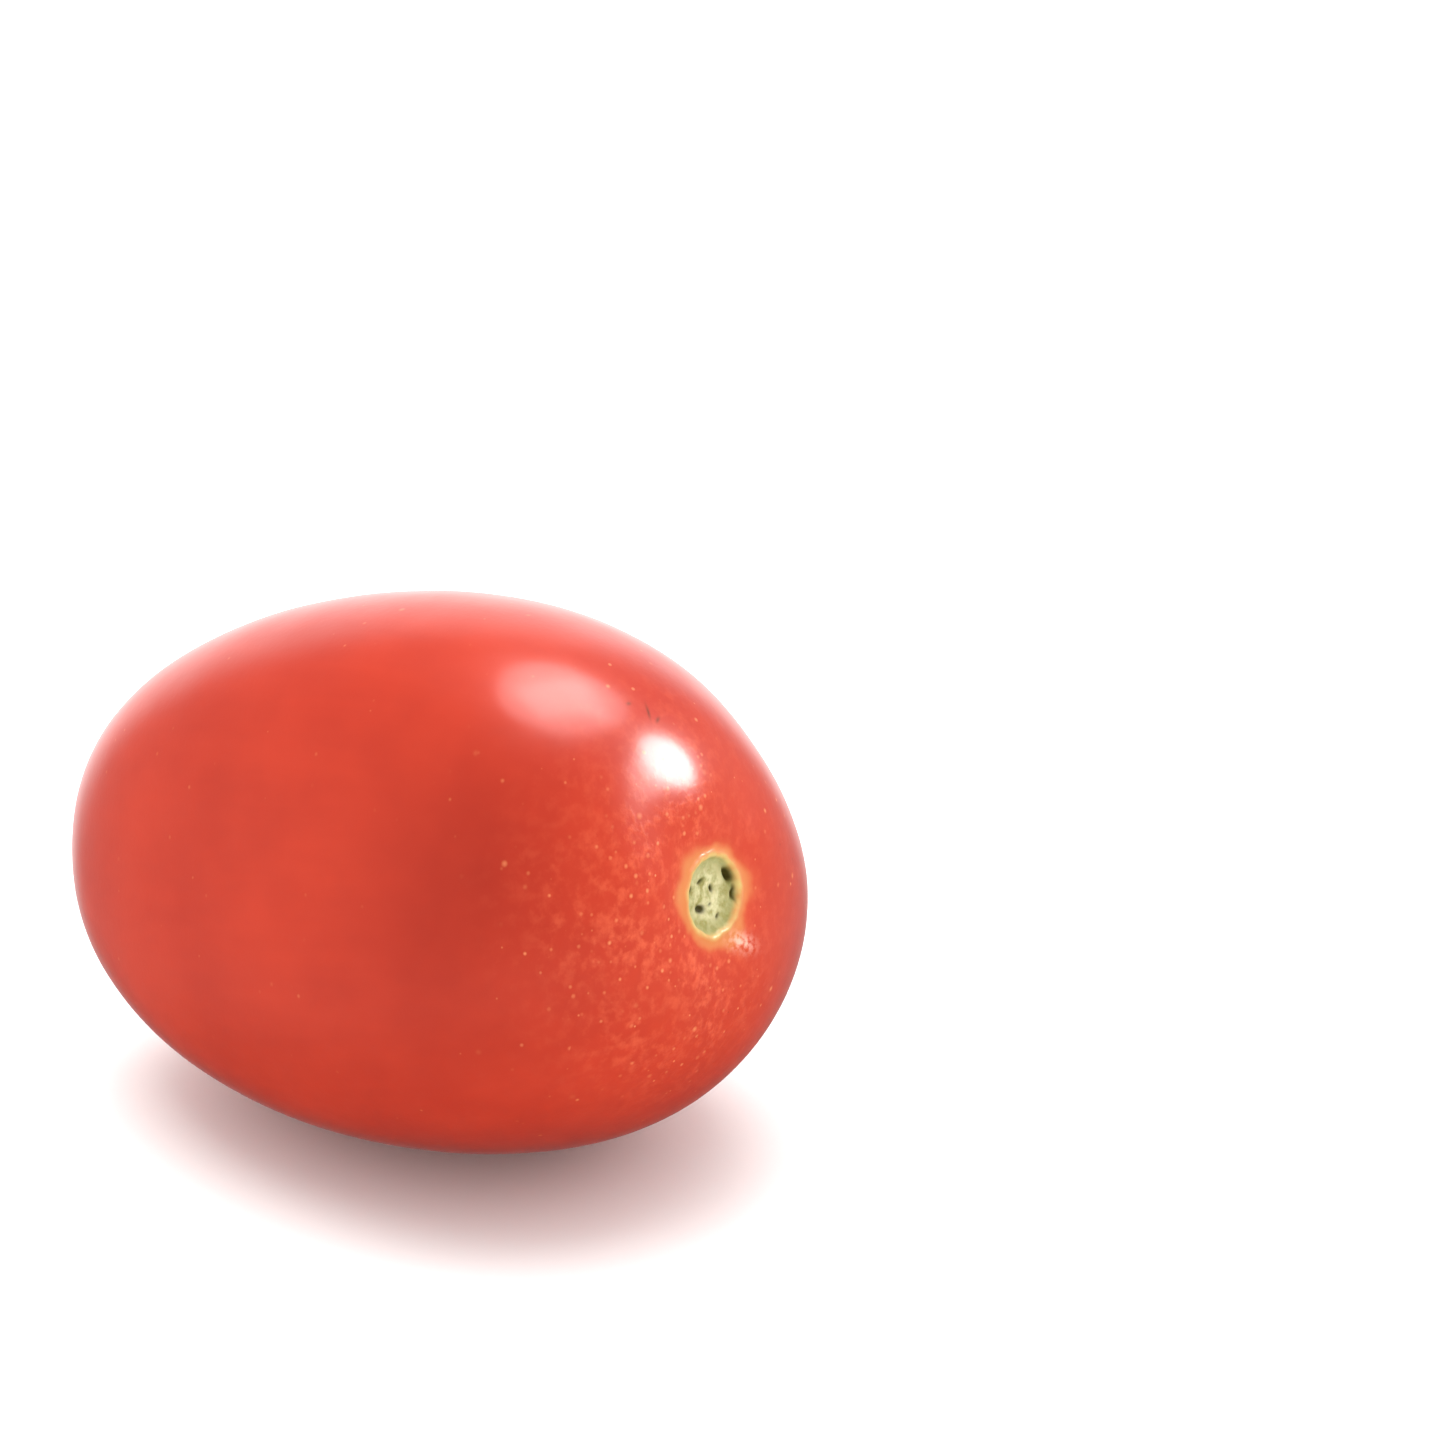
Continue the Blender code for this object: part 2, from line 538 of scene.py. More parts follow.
class Fruit:
    """The whole tomato: one closed skin, with the stem scar and the blossom tip in it."""

    def __init__(self, scar: StemScar, place: Point, material: bpy.types.Material) -> None:
        """Starts the Geometry Nodes tree that grows the skin.

        Args:
            scar: The stem scar's sizes.
            place: The middle of the fruit's box at its base.
            material: The skin's material.
        """
        self.form = Form()
        self.scar = scar
        self.values = self.sizes(place, material)
        outputs = {"Skin": "NodeSocketGeometry"}
        started = new_tree("grow_fruit", "GeometryNodeTree", self.values, outputs)
        self.bench, self.size, self.result = started

    def sizes(self, place: Point, material: bpy.types.Material) -> dict[str, tuple[str, object]]:
        """Lists the tree's inputs.

        Args:
            place: The middle of the fruit's box at its base.
            material: The skin's material.

        Returns:
            The socket type and the value of each input, by name.
        """
        number, whole = "NodeSocketFloat", "NodeSocketInt"
        form = self.form
        sizes = {"Place": ("NodeSocketVector", place), "Skin": ("NodeSocketMaterial", material)}
        for group in (form, self.scar, BlossomTip(), SkinMesh()):
            for field in fields(group):
                value = getattr(group, field.name)
                if isinstance(value, (int, float)):
                    label = field.name.replace("_", " ").title()
                    sizes[label] = (whole if isinstance(value, int) else number, value)
        for power, share in enumerate(form.swell, start=1):
            sizes[f"Swell {power}"] = (number, share)
        for power, (side, up) in enumerate(zip(form.side_bend, form.up_bend), start=2):
            sizes[f"Side Bend {power}"] = (number, side)
            sizes[f"Up Bend {power}"] = (number, up)
        for lobe in (form.oval, *form.lobes):
            sizes[f"Lobe {lobe.count}"] = (number, lobe.share)
            sizes[f"Lobe {lobe.count} Turn"] = (number, lobe.first)
        return sizes

    def roundness(self, across: Flow, turn: Flow) -> Flow:
        """Works out what the oval and the lobes multiply the radius by.

        Args:
            across: Sine of the angle from the stem.
            turn: Angle round the axis.

        Returns:
            The factor.
        """
        size = self.size
        total = turn.wave(2.0, size["Lobe 2 Turn"]) * size["Lobe 2"] + 1.0
        for lobe in self.form.lobes:
            name = f"Lobe {lobe.count}"
            total = total + turn.wave(float(lobe.count), size[f"{name} Turn"]) * size[name] * across
        return total

    def scar_relief(self, side: Flow, up: Flow, turn: Flow) -> Flow:
        """Works out how far the stem end stands out from the plain shape.

        Args:
            side: Distance from the axis, sideways.
            up: Distance from the axis, upwards.
            turn: Angle round the axis.

        Returns:
            The height along the axis.
        """
        bench, size, scar = self.bench, self.size, self.scar
        reach = distance(side, up)
        ragged = scar.uneven_reach(bench, side, up, size["Raggedness"])
        half_wall = size["Scar Wall"] / 2.0
        inside = ragged.ramp(size["Scar Radius"] + half_wall, size["Scar Radius"] - half_wall)
        relief = -(reach.bell(size["Dish Reach"]) * size["Dish Depth"])
        shoulder = scar.rib_rise.share(reach) * scar.rib_fall.share(reach)
        ribs = turn.wave(size["Rib Count"], size["Rib Turn"])
        relief = relief + ribs * shoulder * size["Rib Height"]
        relief = relief + (ragged - size["Lip Radius"]).bell(size["Lip Width"]) * size["Lip Height"]
        relief = relief - inside * size["Scar Depth"]
        cork = scar.cork.at(bench, bench.vector(side, up, 0.0))
        relief = relief + cork * inside * size["Cork Height"]
        for pit in scar.pits:
            relief = relief - pit.share(side, up) * pit.depth
        return relief

    def grow_tree(self) -> bpy.types.NodeTree:
        """Joins the steps of the tree up.

        Returns:
            The tree.
        """
        bench = self.bench
        laid = self.lay_down(self.wave_skin(self.plain_skin()))
        smooth = bench.flow("GeometryNodeSetShadeSmooth", None, {"Geometry": laid})
        real = bench.flow("GeometryNodeRealizeInstances", None, {"Geometry": smooth})
        dress = {"Geometry": real, "Material": self.size["Skin"]}
        dressed = bench.flow("GeometryNodeSetMaterial", None, dress)
        feed(bench.tree, self.result.inputs["Skin"], dressed)
        return bench.tree

    def plain_skin(self) -> Flow:
        """Bends a grid into the closed skin, and keeps on it where each point was grown.

        Returns:
            The skin about its own axis.
        """
        bench, size, form = self.bench, self.size, self.form
        grid = bench.flow("GeometryNodeMeshGrid", None, {
            "Size X": 2.0 * GRID_HALF,
            "Size Y": 2.0 * GRID_HALF,
            "Vertices X": size["Rings"],
            "Vertices Y": size["Segments"],
        })
        down, around, _ = bench.flow("GeometryNodeInputPosition").parts()
        share = down + GRID_HALF
        crowding = size["Crowding"]
        angle = (share * crowding + share * share * crowding.rest()) * math.pi
        turn = (around + GRID_HALF) * (2.0 * math.pi)
        along, across = angle.math("COSINE"), angle.math("SINE")
        square, cube = along * along, along * along * along
        swell = along * size["Swell 1"] + square * size["Swell 2"] + cube * size["Swell 3"] + 1.0
        reach = size["Girth Radius"] * across * swell * self.roundness(across, turn)
        side, up = reach * turn.math("COSINE"), reach * turn.math("SINE")
        straight = bench.vector(size["Half Length"] * along, side, up)
        settings = {"data_type": "FLOAT_VECTOR", "domain": "POINT"}
        keep = {"Geometry": grid, "Name": PLACE_ATTRIBUTE, 3: straight}
        kept = bench.flow("GeometryNodeStoreNamedAttribute", settings, keep)
        tip = reach.bell(size["Tip Reach"]) * size["Tip Height"]
        tip = tip - reach.bell(size["Mark Radius"]) * size["Mark Depth"]
        relief = self.scar_relief(side, up, turn) * form.stem_end.share(along)
        relief = relief - tip * form.blossom_end.share(along)
        side_bend = square * size["Side Bend 2"] + cube * size["Side Bend 3"]
        up_bend = square * size["Up Bend 2"] + cube * size["Up Bend 3"]
        grown = bench.vector(size["Half Length"] * along + relief, side + side_bend, up + up_bend)
        shape = {"Geometry": kept, "Position": grown}
        shaped = bench.flow("GeometryNodeSetPosition", None, shape)
        weld = {"Geometry": shaped, "Distance": size["Weld"]}
        return bench.flow("GeometryNodeMergeByDistance", None, weld)

    def wave_skin(self, skin: Flow) -> Flow:
        """Gives the skin the slight unevenness of a grown thing, but for the scar.

        Args:
            skin: The closed skin.

        Returns:
            The uneven skin.
        """
        bench, size, form = self.bench, self.size, self.form
        settings = {"data_type": "FLOAT_VECTOR"}
        place = bench.flow("GeometryNodeInputNamedAttribute", settings, {"Name": PLACE_ATTRIBUTE})
        along, side, up = place.parts()
        outside = form.past_scar.share(distance(side, up)).most(form.far_half.share(along))
        broad = form.broad_grain.at(bench, place) * size["Broad Wave"]
        fine = form.fine_grain.at(bench, place) * size["Fine Wave"]
        normal = bench.flow("GeometryNodeInputNormal")
        offset = bench.scaled(normal, (broad + fine) * outside)
        return bench.flow("GeometryNodeSetPosition", None, {"Geometry": skin, "Offset": offset})

    def lay_down(self, skin: Flow) -> Flow:
        """Tips the stem end up, stands the fruit at its place and presses its underside flat.

        Args:
            skin: The skin about its own axis.

        Returns:
            The skin as it lies.
        """
        bench, size = self.bench, self.size
        tip = {"Geometry": skin, "Rotation": bench.vector(0.0, -size["Stem Rise"], 0.0)}
        turned = bench.flow("GeometryNodeTransform", None, tip)
        box = bench.node("GeometryNodeBoundBox", None, {"Geometry": turned})
        low = Flow(bench.tree, box.outputs["Min"]).parts()
        high = Flow(bench.tree, box.outputs["Max"]).parts()
        place = size["Place"].parts()
        move_x = place[0] - (low[0] + high[0]) / 2.0
        move_y = place[1] - (low[1] + high[1]) / 2.0
        move_z = place[2] - low[2] - size["Flat Depth"]
        move = {"Geometry": turned, "Offset": bench.vector(move_x, move_y, move_z)}
        moved = bench.flow("GeometryNodeSetPosition", None, move)
        x, y, z = bench.flow("GeometryNodeInputPosition").parts()
        pressed = (z - place[2]).math("SMOOTH_MAX", 0.0, size["Flat Edge"]) + place[2]
        press = {"Geometry": moved, "Position": bench.vector(x, y, pressed)}
        return bench.flow("GeometryNodeSetPosition", None, press)

    def build(self) -> bpy.types.Object:
        """Grows the fruit's skin as a plain mesh.

        Returns:
            The new object, at the origin.
        """
        tree = self.grow_tree()
        seed = bpy.data.objects.new("fruit_seed", bpy.data.meshes.new("fruit_seed"))
        bpy.context.scene.collection.objects.link(seed)
        modifier = seed.modifiers.new("grow", "NODES")
        modifier.node_group = tree
        for item in tree.interface.items_tree:
            if item.item_type == "SOCKET" and item.in_out == "INPUT":
                modifier[item.identifier] = self.values[item.name][1]
        graph = bpy.context.evaluated_depsgraph_get()
        mesh = bpy.data.meshes.new_from_object(seed.evaluated_get(graph), depsgraph=graph)
        mesh.name = "tomato_fruit"
        seed.modifiers.remove(modifier)
        bpy.data.objects.remove(seed, do_unlink=True)
        fruit = bpy.data.objects.new("tomato_fruit", mesh)
        bpy.context.scene.collection.objects.link(fruit)
        return fruit


@dataclass(frozen=True)
class Ray:
    """One point of the pale star round the scar, where a leaf of the calyx lay on the skin.

    turn is its direction and half_width its spread, both in degrees, and gain how much
    further the star reaches there.
    """

    turn: float
    half_width: float
    gain: float


@dataclass(frozen=True)
class Star:
    """The pale star that the calyx left on the skin round the scar."""

    radius: float = 3.5 * MM
    reach: float = 0.8 * MM
    outline: Grain = Grain(1.6 * MM, 3.0)
    raggedness: float = 1.0 * MM
    rays: tuple[Ray, ...] = (
        Ray(123.0, 22.0, 1.4 * MM),
        Ray(163.0, 20.0, 1.3 * MM),
        Ray(-106.0, 22.0, 0.7 * MM),
        Ray(-64.0, 20.0, 2.0 * MM),
        Ray(-6.0, 22.0, 1.5 * MM),
        Ray(52.0, 22.0, 0.5 * MM),
    )
    edge: Band = Band(0.05, 0.9)
    core: Band = Band(0.4, 1.0)
    strength: float = 0.6

    def share(self, bench: Bench, place: Flow, ragged: Flow, turn: Flow) -> Flow:
        """Works out how much of the star there is at a place.

        Args:
            bench: The material's bench.
            place: Where on the fruit a point is.
            ragged: Uneven distance from the scar's middle.
            turn: Angle round the axis.

        Returns:
            1 by the scar, fading towards 0 away from it.
        """
        width = self.outline.at(bench, place) * self.raggedness + self.reach
        for ray in self.rays:
            sharpness = 1.0 - math.cos(math.radians(ray.half_width))
            spread = (turn.wave(1.0, math.radians(ray.turn)) - 1.0) / sharpness
            width = width + spread.math("EXPONENT") * ray.gain
        return (ragged - self.radius).most(0.0).bell(width)


@dataclass(frozen=True)
class Scatter:
    """Small scattered spots: their spacing, their radius as a share of it, and how many there are.

    density is the share of the places that hold a spot, and floor what is added to it.
    """

    spacing: float
    size: float
    density: float
    floor: float = 0.0


@dataclass(frozen=True)
class FleckRule:
    """The node group of small scattered spots, which differ in size and strength."""

    least_size: float = 0.4
    size_spread: float = 0.9
    core: float = 0.1
    chance: Band = Band(-0.05, 0.05)
    least_strength: float = 0.3
    strength_spread: float = 0.7

    def group(self) -> bpy.types.NodeTree:
        """Builds the group.

        Returns:
            The group, with inputs Place, Spacing, Size and Density, and output Spots.
        """
        number = "NodeSocketFloat"
        inputs = {
            "Place": ("NodeSocketVector", None),
            "Spacing": (number, MM),
            "Size": (number, 0.0),
            "Density": (number, 0.0),
        }
        bench, flow, result = new_tree("flecks", "ShaderNodeTree", inputs, {"Spots": number})
        spread = bench.scaled(flow["Place"], flow["Spacing"].math("POWER", -1.0))
        cells = bench.node("ShaderNodeTexVoronoi", None, {"Vector": spread, "Scale": 1.0})
        chance, girth, strength = Flow(bench.tree, cells.outputs["Color"]).parts()
        radius = flow["Size"] * (girth * self.size_spread + self.least_size)
        spot = Flow(bench.tree, cells.outputs["Distance"]).ramp(radius, radius * self.core)
        there = self.chance.share(flow["Density"] - chance)
        shade = strength * self.strength_spread + self.least_strength
        feed(bench.tree, result.inputs["Spots"], spot * there * shade)
        return bench.tree


@dataclass(frozen=True)
class Paints:
    """Colours of the ripe skin and of the dry scar in it, and of the painted shade on the body and
    inside the scar's lip.
    """

    deep: Colour = paint(172, 47, 29)
    bright: Colour = paint(188, 55, 33)
    shoulder: Colour = paint(200, 64, 36)
    # Painted shade: the dark red laid as a soft patch over one side of the body.
    shade: Colour = paint(146, 34, 20)
    star_edge: Colour = paint(212, 100, 58)
    star: Colour = paint(214, 146, 82)
    lip: Colour = paint(204, 188, 116)
    cork: Colour = paint(214, 206, 160)
    # Dark cork, for the cork's own grain and also laid as painted shade in a ring just inside the
    # scar's lip.
    dark_cork_and_painted_shade: Colour = paint(150, 144, 82)
    pit: Colour = paint(66, 58, 14)
    mottle: Colour = paint(232, 106, 70)
    fleck: Colour = paint(240, 152, 98)
    speck: Colour = paint(96, 40, 14)
    scuff: Colour = paint(244, 190, 168)


@dataclass(frozen=True)
class Tone:
    """The broad changes of colour over the ripe skin, and a soft patch of painted shade on one side of
    the body.
    """

    broad: Grain = Grain(24.0 * MM, 2.0)
    narrow: Grain = Grain(5.0 * MM, 2.0)
    narrow_share: float = 0.3
    streak: Grain = Grain(1.6 * MM, 2.0)
    streak_share: float = 0.2
    streak_squash: float = 0.12
    spread: Band = Band(-0.3, 0.3)
    # Painted shade: the middle, reach, grain, level and strength of the soft dark patch on the body.
    shade_middle: Point = (24.0 * MM, -19.0 * MM, 8.0 * MM)
    shade_reach: float = 10.0 * MM
    shade_grain: Grain = Grain(9.0 * MM)
    shade_level: float = 0.8
    shade_strength: float = 0.75
    shoulder: Band = Band(18.0 * MM, 4.0 * MM)
    shoulder_grain: Grain = Grain(6.0 * MM)
    shoulder_raggedness: float = 8.0 * MM
    shoulder_strength: float = 0.6


@dataclass(frozen=True)
class Mottling:
    """The fine pale mottling, the flecks and the dark specks round the stem scar."""

    start: Band = Band(3.4 * MM, 6.0 * MM)
    end: Band = Band(22.0 * MM, 8.0 * MM)
    heavy_side: Band = Band(9.0 * MM, -3.0 * MM)
    side_gain: float = 0.8
    side_least: float = 0.2
    patches: Grain = Grain(6.0 * MM, 2.0)
    patch_gain: float = 1.6
    patch_level: float = 0.75
    mottle: Grain = Grain(1.1 * MM, 3.0, 0.6)
    mottle_spread: Band = Band(-0.1, 0.24)
    mottle_strength: float = 0.66
    fine: Scatter = Scatter(0.8 * MM, 0.3, 0.8, 0.015)
    large: Scatter = Scatter(1.7 * MM, 0.2, 0.7)
    fleck_strength: float = 0.7
    speck: Scatter = Scatter(2.6 * MM, 0.06, 0.35)
    speck_end: Band = Band(24.0 * MM, 12.0 * MM)
    speck_strength: float = 0.75
    scratches: tuple[Mark, ...] = (
        Mark(-1.25 * MM, 16.2 * MM, 0.6 * MM, 0.14 * MM, 60.0),
        Mark(-0.8 * MM, 15.4 * MM, 0.35 * MM, 0.13 * MM, 20.0),
        Mark(-2.6 * MM, 17.3 * MM, 0.25 * MM, 0.12 * MM, 0.0),
    )


@dataclass(frozen=True)
class DryParts:
    """How the scuffed spot, the lip, the cork with its pits and the blossom mark are coloured, with a
    ring of painted shade on the cork just inside the lip.
    """

    scuff: Mark = Mark(2.6 * MM, -4.9 * MM, 1.5 * MM, 0.7 * MM, -30.0)
    scuff_grain: Grain = Grain(0.6 * MM, 3.0)
    scuff_spread: Band = Band(-0.15, 0.12)
    scuff_strength: float = 0.85
    lip: Band = Band(3.85 * MM, 3.3 * MM)
    lip_grain: Grain = Grain(1.2 * MM)
    lip_gain: float = 1.4
    lip_level: float = 0.65
    lip_dryness: float = 0.7
    edge_outside: float = 0.2 * MM
    edge_inside: float = 0.1 * MM
    cork: Grain = Grain(1.1 * MM, 3.0, 0.6)
    cork_spread: Band = Band(-0.2, 0.15)
    # Painted shade: the cork darkens towards the scar's edge, just inside the lip, this strongly.
    painted_rim_shade: Band = Band(1.3 * MM, 3.1 * MM)
    painted_rim_shade_strength: float = 0.75
    pit_level: float = 0.35
    pit_spread: Band = Band(0.1, 0.75)
    blossom_mark: Band = Band(1.3 * MM, 0.5 * MM)


@dataclass(frozen=True)
class Gloss:
    """How the skin shines, how far light sinks into it, and what takes its shine away."""

    roughness: float = 0.32
    grain: Grain = Grain(3.0 * MM)
    grain_roughness: float = 0.08
    scuff_roughness: float = 0.2
    spot_roughness: float = 0.1
    dry_roughness: float = 0.4
    coat: float = 0.3
    coat_roughness: float = 0.19
    coat_scuffed: float = 0.6
    specular: float = 0.08
    depth_share: float = 0.12
    depth_radius: Point = (1.0, 0.25, 0.12)
    depth: float = 1.5 * MM


@dataclass(frozen=True)
class FineRelief:
    """Unevenness of the surface that is too fine for the mesh."""

    peel: Grain = Grain(0.5 * MM, 2.0)
    peel_height: float = 0.008 * MM
    crumbs: Grain = Grain(0.28 * MM, 3.0, 0.7)
    crumb_height: float = 0.09 * MM
    mottle_height: float = 0.03 * MM
    spot_height: float = 0.02 * MM
    scuff: Grain = Grain(0.4 * MM)
    scuff_height: float = 0.12 * MM
    scale: float = 1.0
    strength: float = 1.0


@dataclass(frozen=True)
class SkinLooks:
    """Everything that the fruit's material is made from."""

    paints: Paints = Paints()
    tone: Tone = Tone()
    mottling: Mottling = Mottling()
    star: Star = Star()
    dry: DryParts = DryParts()
    gloss: Gloss = Gloss()
    relief: FineRelief = FineRelief()
    stem_half: Band = Band(0.0, 5.0 * MM)


class SkinMaterial:
    """The material of the whole fruit, laid on layer by layer.

    Every layer is worked out from where on the fruit a point was grown.
    """

    def __init__(self, scar: StemScar, looks: SkinLooks) -> None:
        """Starts the material and finds the place of a shaded point.

        Args:
            scar: The stem scar's sizes.
            looks: Its colours, patterns and gloss.
        """
        self.scar = scar
        self.looks = looks
        self.material = bpy.data.materials.new(SLOT)
        self.material.use_nodes = True
        self.bench = Bench(self.material.node_tree)
        attribute = {"attribute_name": PLACE_ATTRIBUTE}
        self.place = self.bench.flow("ShaderNodeAttribute", attribute, None, "Vector")
        self.along, self.side, self.up = self.place.parts()
        self.reach = distance(self.side, self.up)
        self.turn = self.up.math("ARCTAN2", self.side)
        self.stem = looks.stem_half.share(self.along)
        self.ragged = scar.uneven_reach(self.bench, self.side, self.up, scar.raggedness)

    def grain(self, grain: Grain) -> Flow:
        """Reads a noise at the shaded point.

        Args:
            grain: The noise.

        Returns:
            Its value.
        """
        return grain.at(self.bench, self.place)

    def mark(self, mark: Mark) -> Flow:
        """Works out how far the shaded point is into a mark of the stem end.

        Args:
            mark: The mark.

        Returns:
            1 in its middle, 0 outside it.
        """
        return mark.share(self.side, self.up) * self.stem

    def scattered(self, group: bpy.types.NodeTree, spots: Scatter, where: Flow) -> Flow:
        """Scatters spots over the skin.

        Args:
            group: The node group that makes spots.
            spots: Their size and number.
            where: How many of them a place holds, as a share.

        Returns:
            How much of a spot there is.
        """
        inputs = {
            "Place": self.place,
            "Spacing": spots.spacing,
            "Size": spots.size,
            "Density": where * spots.density + spots.floor,
        }
        return self.bench.flow("ShaderNodeGroup", {"node_tree": group}, inputs, "Spots")

    def ripe_skin(self) -> Flow:
        """Colours the plain skin, with a soft patch of painted shade on one side of the body.

        Returns:
            The colour.
        """
        bench, tone, paints = self.bench, self.looks.tone, self.looks.paints
        tones = self.grain(tone.broad) + self.grain(tone.narrow) * tone.narrow_share
        squashed = bench.vector(self.along * tone.streak_squash, self.side, self.up)
        streak = tone.streak.at(bench, squashed)
        share = tone.spread.share(tones + streak * tone.streak_share)
        colour = bench.blend(share, paints.deep, paints.bright)
        # Painted shade: a soft dark patch round a point on one side of the body.
        parts = (self.along, self.side, self.up)
        offsets = [part - middle for part, middle in zip(parts, tone.shade_middle)]
        away = {0: bench.vector(*offsets)}
        away = bench.flow("ShaderNodeVectorMath", {"operation": "LENGTH"}, away, "Value")
        near_painted_shade = away.bell(tone.shade_reach)
        shade = near_painted_shade * (self.grain(tone.shade_grain) + tone.shade_level)
        colour = bench.blend(shade * tone.shade_strength, colour, paints.shade)
        uneven = self.reach + self.grain(tone.shoulder_grain) * tone.shoulder_raggedness
        shoulder = tone.shoulder.share(uneven) * self.stem
        return bench.blend(shoulder * tone.shoulder_strength, colour, paints.shoulder)

    def mottled_skin(self, colour: Flow) -> tuple[Flow, Flow, Flow]:
        """Adds the mottling, flecks, specks and scratches round the scar.

        Args:
            colour: The plain skin's colour.

        Returns:
            The new colour, and how much mottling and how much of a fleck there is.
        """
        bench, rule, paints = self.bench, self.looks.mottling, self.looks.paints
        lopsided = rule.heavy_side.share(self.side) * rule.side_gain + rule.side_least
        patches = self.grain(rule.patches) * rule.patch_gain + rule.patch_level
        ring = rule.start.share(self.reach) * rule.end.share(self.reach)
        near = ring * self.stem * lopsided * patches
        mottle = rule.mottle_spread.share(self.grain(rule.mottle)) * near
        colour = bench.blend(mottle * rule.mottle_strength, colour, paints.mottle)
        group = FleckRule().group()
        fine = self.scattered(group, rule.fine, near)
        spots = fine.most(self.scattered(group, rule.large, near))
        colour = bench.blend(spots * rule.fleck_strength, colour, paints.fleck)
        specks = self.scattered(group, rule.speck, self.stem * rule.speck_end.share(self.reach))
        for scratch in rule.scratches:
            specks = specks.most(self.mark(scratch))
        return bench.blend(specks * rule.speck_strength, colour, paints.speck), mottle, spots

    def starred_skin(self, colour: Flow) -> tuple[Flow, Flow]:
        """Adds the calyx's star and the scuffed spot beside it.

        Args:
            colour: The skin's colour.

        Returns:
            The new colour, and how scuffed the skin is.
        """
        bench, star, paints, dry = self.bench, self.looks.star, self.looks.paints, self.looks.dry
        halo = star.share(bench, self.place, self.ragged, self.turn) * self.stem
        colour = bench.blend(star.edge.share(halo) * star.strength, colour, paints.star_edge)
        colour = bench.blend(star.core.share(halo) * star.strength, colour, paints.star)
        scuff = self.mark(dry.scuff) * dry.scuff_spread.share(self.grain(dry.scuff_grain))
        return bench.blend(scuff * dry.scuff_strength, colour, paints.scuff), scuff

    def corky_scar(self, colour: Flow) -> tuple[Flow, Flow]:
        """Adds the scar's lip, its cork and pits, painted shade on the cork just inside the lip, and
        the mark at the blossom end.

        Args:
            colour: The skin's colour.

        Returns:
            The new colour, and how dry the surface is.
        """
        bench, dry, paints = self.bench, self.looks.dry, self.looks.paints
        uneven = self.grain(dry.lip_grain) * dry.lip_gain + dry.lip_level
        lip = dry.lip.share(self.ragged) * self.stem * uneven
        colour = bench.blend(lip, colour, paints.lip)
        outer = self.scar.scar_radius + dry.edge_outside
        inner = self.scar.scar_radius - dry.edge_inside
        inside = self.ragged.ramp(outer, inner) * self.stem
        # Painted shade: the cork goes towards its dark colour in a ring just inside the lip, on top of
        # its own grain.
        painted_rim_shading = dry.painted_rim_shade.share(self.ragged) * -dry.painted_rim_shade_strength + 1.0
        light = dry.cork_spread.share(self.grain(dry.cork)) * painted_rim_shading
        cork = bench.blend(light, paints.dark_cork_and_painted_shade, paints.cork)
        colour = bench.blend(inside, colour, cork)
        deepest = self.scar.pits[0].depth
        depths = []
        for pit in self.scar.pits:
            darkness = dry.pit_level + (1.0 - dry.pit_level) * pit.depth / deepest
            depths.append(self.mark(pit) * darkness)
        depth = depths[0]
        for other in depths[1:]:
            depth = depth.most(other)
        colour = bench.blend(dry.pit_spread.share(depth), colour, paints.pit)
        tip = dry.blossom_mark.share(self.reach) * self.stem.rest()
        colour = bench.blend(tip, colour, paints.speck)
        return colour, inside.most(lip * dry.lip_dryness).most(tip)

    def build(self) -> bpy.types.Material:
        """Joins the layers up with the shader.

        Returns:
            The material.
        """
        colour, mottle, spots = self.mottled_skin(self.ripe_skin())
        colour, scuff = self.starred_skin(colour)
        colour, dry = self.corky_scar(colour)
        tree, gloss, relief = self.material.node_tree, self.looks.gloss, self.looks.relief
        sockets = tree.nodes["Principled BSDF"].inputs
        feed(tree, sockets["Base Color"], colour)
        rough = self.grain(gloss.grain) * gloss.grain_roughness + gloss.roughness
        rough = rough + scuff * gloss.scuff_roughness + spots * gloss.spot_roughness
        feed(tree, sockets["Roughness"], rough + dry * gloss.dry_roughness)
        unscuffed = scuff * -gloss.coat_scuffed + 1.0
        feed(tree, sockets["Coat Weight"], dry.rest() * unscuffed * gloss.coat)
        sockets["Coat Roughness"].default_value = gloss.coat_roughness
        sockets["Specular IOR Level"].default_value = gloss.specular
        sockets["Subsurface Weight"].default_value = gloss.depth_share
        sockets["Subsurface Radius"].default_value = gloss.depth_radius
        sockets["Subsurface Scale"].default_value = gloss.depth
        height = self.grain(relief.peel) * relief.peel_height
        height = height + self.grain(relief.crumbs) * relief.crumb_height * dry
        height = height + mottle * relief.mottle_height + spots * relief.spot_height
        height = height + scuff * self.grain(relief.scuff) * relief.scuff_height
        bump = {"Height": height, "Distance": relief.scale, "Strength": relief.strength}
        feed(tree, sockets["Normal"], self.bench.flow("ShaderNodeBump", None, bump))
        return self.material


class PanelShape(Enum):
    """Outlines that a soft light may have."""

    ROUND = "ELLIPSE"
    SQUARE = "RECTANGLE"


class Use(Enum):
    """What a light is for: lighting surfaces, or only showing in their gloss."""

    MATTE = "matte"
    GLOSS = "gloss"


@dataclass(frozen=True)
class Panel:
    """One soft light: where it stands round the fruit, its size and its brightness."""

    name: str
    azimuth: float
    elevation: float
    distance: float
    width: float
    height: float
    radiance: float
    shape: PanelShape
    use: Use

    def build(self, middle: Vector) -> None:
        """Makes the light, turned to the fruit.

        Args:
            middle: The fruit's middle.
        """
        data = bpy.data.lights.new(self.name, "AREA")
        data.shape = self.shape.value
        data.size, data.size_y = self.width, self.height
        data.energy = self.radiance * math.pi * self.width * self.height
        light = bpy.data.objects.new(self.name, data)
        light.location = middle + toward(self.azimuth, self.elevation) * self.distance
        light.rotation_euler = (light.location - middle).to_track_quat("Z", "Y").to_euler()
        light.visible_camera = False
        light.visible_diffuse = self.use is Use.MATTE
        light.visible_glossy = self.use is Use.GLOSS
        bpy.context.scene.collection.objects.link(light)


